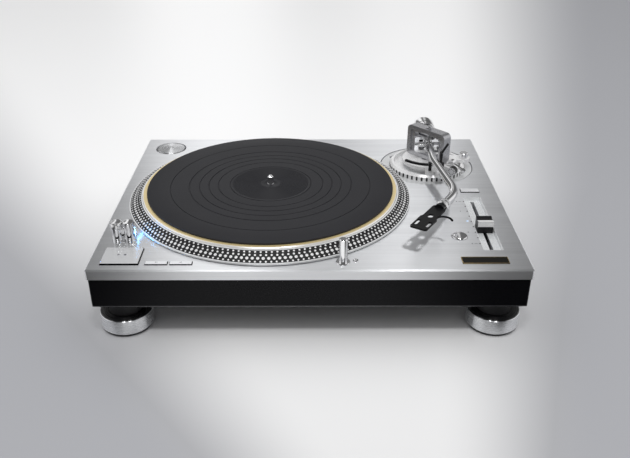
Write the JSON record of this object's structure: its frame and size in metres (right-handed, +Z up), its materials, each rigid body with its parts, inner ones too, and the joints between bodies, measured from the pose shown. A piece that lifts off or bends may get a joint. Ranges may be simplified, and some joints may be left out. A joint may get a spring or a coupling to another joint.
{
  "type": "turntable",
  "caption": "Direct-drive turntable with a brushed metal top plate, dotted platter, S-shaped pickup arm, pitch fader, strobe unit and levelling feet.",
  "frame": {"origin": "on the floor, under the middle of the whole object's box", "axes": "+X to the user's right along the width, +Y from the front to the back, +Z up"},
  "size_m": [0.453, 0.372, 0.1426],
  "materials": {
    "brushed_top": "brushed across the width, satin",
    "cabinet_black": "satin black",
    "rubber_black": "matte",
    "turned_silver": "turned, bright",
    "silver_metal": "satin",
    "frame_grey": "fine satin grey",
    "arm_polished": "polished",
    "nut_chrome": "polished",
    "bush_grey": "satin",
    "platter_black": "black rim with bright strobe dots",
    "brass": "turned, bright",
    "steel": "polished",
    "magnet": "matte",
    "copper": "enamelled copper wire",
    "board_green": "solder mask",
    "black_plastic": "satin black",
    "shell_black": "black anodised",
    "badge_black": "gloss black with a gilt edge, bare",
    "blue_window": "lit blue"
  },
  "bodies": {
    "chassis": {"top_plate": "brushed_top", "cabinet": "cabinet_black", "rubber_base": "rubber_black", "foot_cores": "rubber_black", "base_screws": "steel", "hinge_sockets": "cabinet_black", "terminal_panel": "cabinet_black", "phono_terminals": "brass", "power_inlet": "cabinet_black", "power_supply": "board_green", "control_board": "board_green", "pitch_board": "board_green", "motor_frame": "silver_metal", "stator_coils": "copper", "bearing_housing": "brass", "strobe_housing": "silver_metal", "strobe_window": "blue_window", "light_sleeve": "silver_metal", "fader_trough": "silver_metal", "fader_body": "black_plastic", "badge_plate": "badge_black", "arm_base": "silver_metal"},
    "platter": {"platter": "platter_black", "platter_brass_top": "brass", "mat": "rubber_black", "spindle": "steel", "rotor_magnet": "magnet"},
    "start_stop_key": {"start_stop_key": "silver_metal"},
    "speed_33_key": {"speed_33_key": "silver_metal"},
    "speed_45_key": {"speed_45_key": "silver_metal"},
    "pitch_range_key": {"pitch_range_key": "silver_metal"},
    "pitch_reset_key": {"pitch_reset_key": "silver_metal"},
    "power_knob": {"power_knob": "turned_silver"},
    "stylus_light": {"stylus_light": "silver_metal"},
    "light_release": {"light_release": "silver_metal"},
    "fader_knob": {"fader_knob": "black_plastic"},
    "record_adapter": {"record_adapter": "turned_silver"},
    "height_ring": {"height_ring": "turned_silver"},
    "arm_platform": {"arm_platform": "silver_metal", "bearing_frame": "frame_grey", "pivot_screws": "steel", "arm_rest": "black_plastic"},
    "gimbal": {"gimbal_ring": "silver_metal"},
    "arm": {"arm_block": "arm_polished", "arm_tube": "arm_polished", "headshell": "shell_black", "finger_lift": "shell_black"},
    "lock_nut": {"lock_nut": "nut_chrome"},
    "weight_bush": {"weight_bush": "bush_grey"},
    "counterweight": {"counterweight": "arm_polished"},
    "pressure_dial": {"pressure_dial": "black_plastic"},
    "rest_clip": {"rest_clip": "black_plastic"},
    "cue_lever": {"cue_lever": "silver_metal"},
    "arm_lifter": {"arm_lifter": "black_plastic"},
    "anti_skate_dial": {"anti_skate_dial": "black_plastic"},
    "lock_knob": {"lock_knob": "turned_silver"},
    "foot_front_left": {"foot_ring_front_left": "turned_silver"},
    "foot_front_right": {"foot_ring_front_right": "turned_silver"},
    "foot_rear_left": {"foot_ring_rear_left": "turned_silver"},
    "foot_rear_right": {"foot_ring_rear_right": "turned_silver"}
  },
  "joints": [
    {"name": "platter_spin", "type": "hinge", "parent": "chassis", "child": "platter", "pos_m": [-0.047, -0.0135, 0.1], "axis": [0, 0, 1], "continuous": true},
    {"name": "start_stop_press", "type": "slide", "parent": "chassis", "child": "start_stop_key", "axis": [0, 0, 1], "range_m": [-0.0012, 0], "stiffness_N_per_m": 800, "springref_m": 0.001},
    {"name": "speed_33_press", "type": "slide", "parent": "chassis", "child": "speed_33_key", "axis": [0, 0, 1], "range_m": [-0.0012, 0], "stiffness_N_per_m": 500, "springref_m": 0.0008},
    {"name": "speed_45_press", "type": "slide", "parent": "chassis", "child": "speed_45_key", "axis": [0, 0, 1], "range_m": [-0.0012, 0], "stiffness_N_per_m": 500, "springref_m": 0.0008},
    {"name": "pitch_range_press", "type": "slide", "parent": "chassis", "child": "pitch_range_key", "axis": [0, 0, 1], "range_m": [-0.0012, 0], "stiffness_N_per_m": 500, "springref_m": 0.0008},
    {"name": "pitch_reset_press", "type": "slide", "parent": "chassis", "child": "pitch_reset_key", "axis": [0, 0, 1], "range_m": [-0.0012, 0], "stiffness_N_per_m": 500, "springref_m": 0.0008},
    {"name": "power_turn", "type": "hinge", "parent": "chassis", "child": "power_knob", "pos_m": [-0.20518, -0.1259, 0.1], "axis": [0, 0, 1], "range_deg": [-40, 0]},
    {"name": "light_pop_up", "type": "slide", "parent": "chassis", "child": "stylus_light", "axis": [0, 0, 1], "range_m": [-0.024, 0], "stiffness_N_per_m": 20, "springref_m": 0.012},
    {"name": "light_release_press", "type": "slide", "parent": "chassis", "child": "light_release", "axis": [0, 0, 1], "range_m": [-0.001, 0], "stiffness_N_per_m": 400, "springref_m": 0.0008},
    {"name": "pitch_fader", "type": "slide", "parent": "chassis", "child": "fader_knob", "axis": [0, 1, 0], "range_m": [-0.0385, 0.0615]},
    {"name": "adapter_lift_out", "type": "slide", "parent": "chassis", "child": "record_adapter", "axis": [0, 0, 1], "range_m": [0, 0.015]},
    {"name": "height_ring_turn", "type": "hinge", "parent": "chassis", "child": "height_ring", "pos_m": [0.151, 0.0703, 0.09], "axis": [0, 0, 1], "range_deg": [0, 180]},
    {"name": "arm_height", "type": "slide", "parent": "chassis", "child": "arm_platform", "axis": [0, 0, 1], "range_m": [0, 0.006]},
    {"name": "arm_swing", "type": "hinge", "parent": "arm_platform", "child": "gimbal", "pos_m": [0.151, 0.0703, 0.119], "axis": [0, 0, 1], "range_deg": [-43, 0]},
    {"name": "arm_tilt", "type": "hinge", "parent": "gimbal", "child": "arm", "pos_m": [0.151, 0.0703, 0.119], "axis": [-0.9998, 0.0175, 0], "range_deg": [0, 8]},
    {"name": "lock_nut_turn", "type": "hinge", "parent": "arm", "child": "lock_nut", "pos_m": [0.16274, -0.0751, 0.119], "axis": [-0.5299, -0.848, 0], "range_deg": [0, 25]},
    {"name": "weight_turn", "type": "hinge", "parent": "weight_bush", "child": "counterweight", "pos_m": [0.151, 0.0703, 0.119], "axis": [0.0175, 0.9998, 0], "range_deg": [0, 1080]},
    {"name": "weight_slide", "type": "slide", "parent": "arm", "child": "weight_bush", "axis": [0.0175, 0.9998, 0], "range_m": [0, 0.006]},
    {"name": "pressure_dial_turn", "type": "hinge", "parent": "weight_bush", "child": "pressure_dial", "pos_m": [0.151, 0.0703, 0.119], "axis": [0.0175, 0.9998, 0], "range_deg": [-180, 180]},
    {"name": "rest_clip_swing", "type": "hinge", "parent": "arm_platform", "child": "rest_clip", "pos_m": [0.15962, 0.02031, 0.1258], "axis": [0, 1, 0], "range_deg": [-120, 0]},
    {"name": "cue_lever_raise", "type": "hinge", "parent": "arm_platform", "child": "cue_lever", "pos_m": [0.178, 0.0453, 0.1033], "axis": [-0.6157, -0.788, 0], "range_deg": [0, 40]},
    {"name": "lifter_rise", "type": "slide", "parent": "arm_platform", "child": "arm_lifter", "axis": [0, 0, 1], "range_m": [0, 0.006]},
    {"name": "anti_skate_turn", "type": "hinge", "parent": "arm_platform", "child": "anti_skate_dial", "pos_m": [0.1765, 0.0263, 0.1002], "axis": [-0.5299, -0.848, 0], "range_deg": [0, 270]},
    {"name": "height_lock_turn", "type": "hinge", "parent": "arm_platform", "child": "lock_knob", "pos_m": [0.198, 0.0713, 0.102], "axis": [0, 0, 1], "range_deg": [-90, 0]},
    {"name": "level_front_left", "type": "hinge", "parent": "chassis", "child": "foot_front_left", "pos_m": [-0.1979, -0.154, 0.012], "axis": [0, 0, 1], "range_deg": [-180, 180]},
    {"name": "level_front_right", "type": "hinge", "parent": "chassis", "child": "foot_front_right", "pos_m": [0.1979, -0.154, 0.012], "axis": [0, 0, 1], "range_deg": [-180, 180]},
    {"name": "level_rear_left", "type": "hinge", "parent": "chassis", "child": "foot_rear_left", "pos_m": [-0.1979, 0.135, 0.012], "axis": [0, 0, 1], "range_deg": [-180, 180]},
    {"name": "level_rear_right", "type": "hinge", "parent": "chassis", "child": "foot_rear_right", "pos_m": [0.1979, 0.135, 0.012], "axis": [0, 0, 1], "range_deg": [-180, 180]}
  ],
  "couplings": [
    {"joint": "arm_height", "follows": "height_ring_turn", "m_per_rad": 0.0019099},
    {"joint": "weight_slide", "follows": "weight_turn", "m_per_rad": 0.00031831},
    {"joint": "lifter_rise", "follows": "cue_lever_raise", "m_per_rad": 0.0085944}
  ]
}
